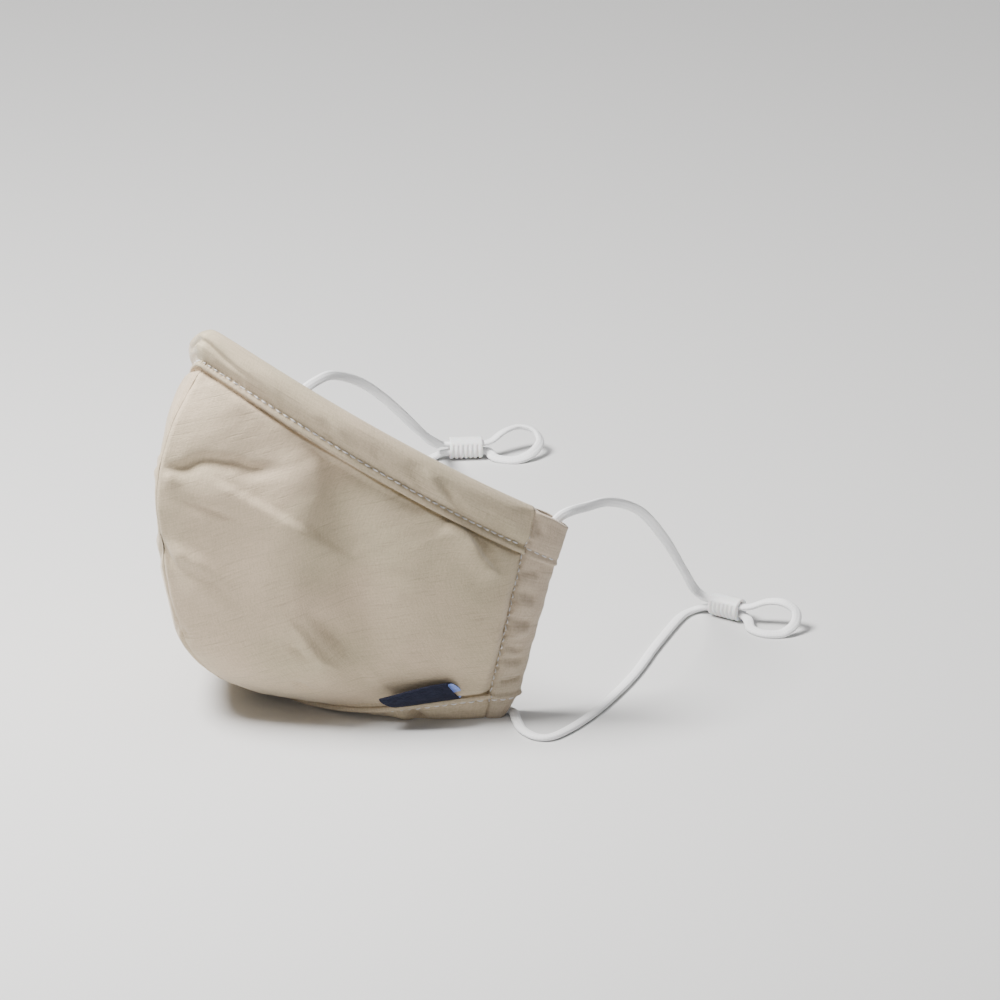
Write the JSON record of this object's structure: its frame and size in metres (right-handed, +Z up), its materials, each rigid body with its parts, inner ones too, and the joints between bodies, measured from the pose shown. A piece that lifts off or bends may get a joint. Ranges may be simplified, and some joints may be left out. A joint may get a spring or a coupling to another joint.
{
  "type": "cloth face mask",
  "caption": "Two-panel cotton face mask with a centre seam, folded nose band, elastic ear loops and sliding ear loop adjusters.",
  "frame": {"origin": "middle of the mask's footprint on the surface it stands on, without the ear loops and adjusters", "axes": "+Z up from the chin hem to the nose, +X towards the wearer's left, and the nose points to -Y"},
  "size_m": [0.2086, 0.2412, 0.1313],
  "materials": {
    "cotton": "plain slubby cotton weave, beige",
    "band_cotton": "plain slubby cotton weave, beige, topstitched",
    "casing_cotton": "plain slubby cotton weave, pinkish beige",
    "label_ribbon": "woven ribbon, navy outside and light blue inside, bare",
    "elastic": "white knitted elastic",
    "silicone": "satin white silicone"
  },
  "bodies": {
    "root": {"left_panel": "cotton", "right_panel": "cotton", "nose_band": "band_cotton", "chin_hem": "band_cotton", "left_casing": "casing_cotton", "right_casing": "casing_cotton", "side_label": "label_ribbon", "left_ear_loop": "elastic", "right_ear_loop": "elastic", "left_adjuster": "silicone", "right_adjuster": "silicone"}
  },
  "joints": []
}
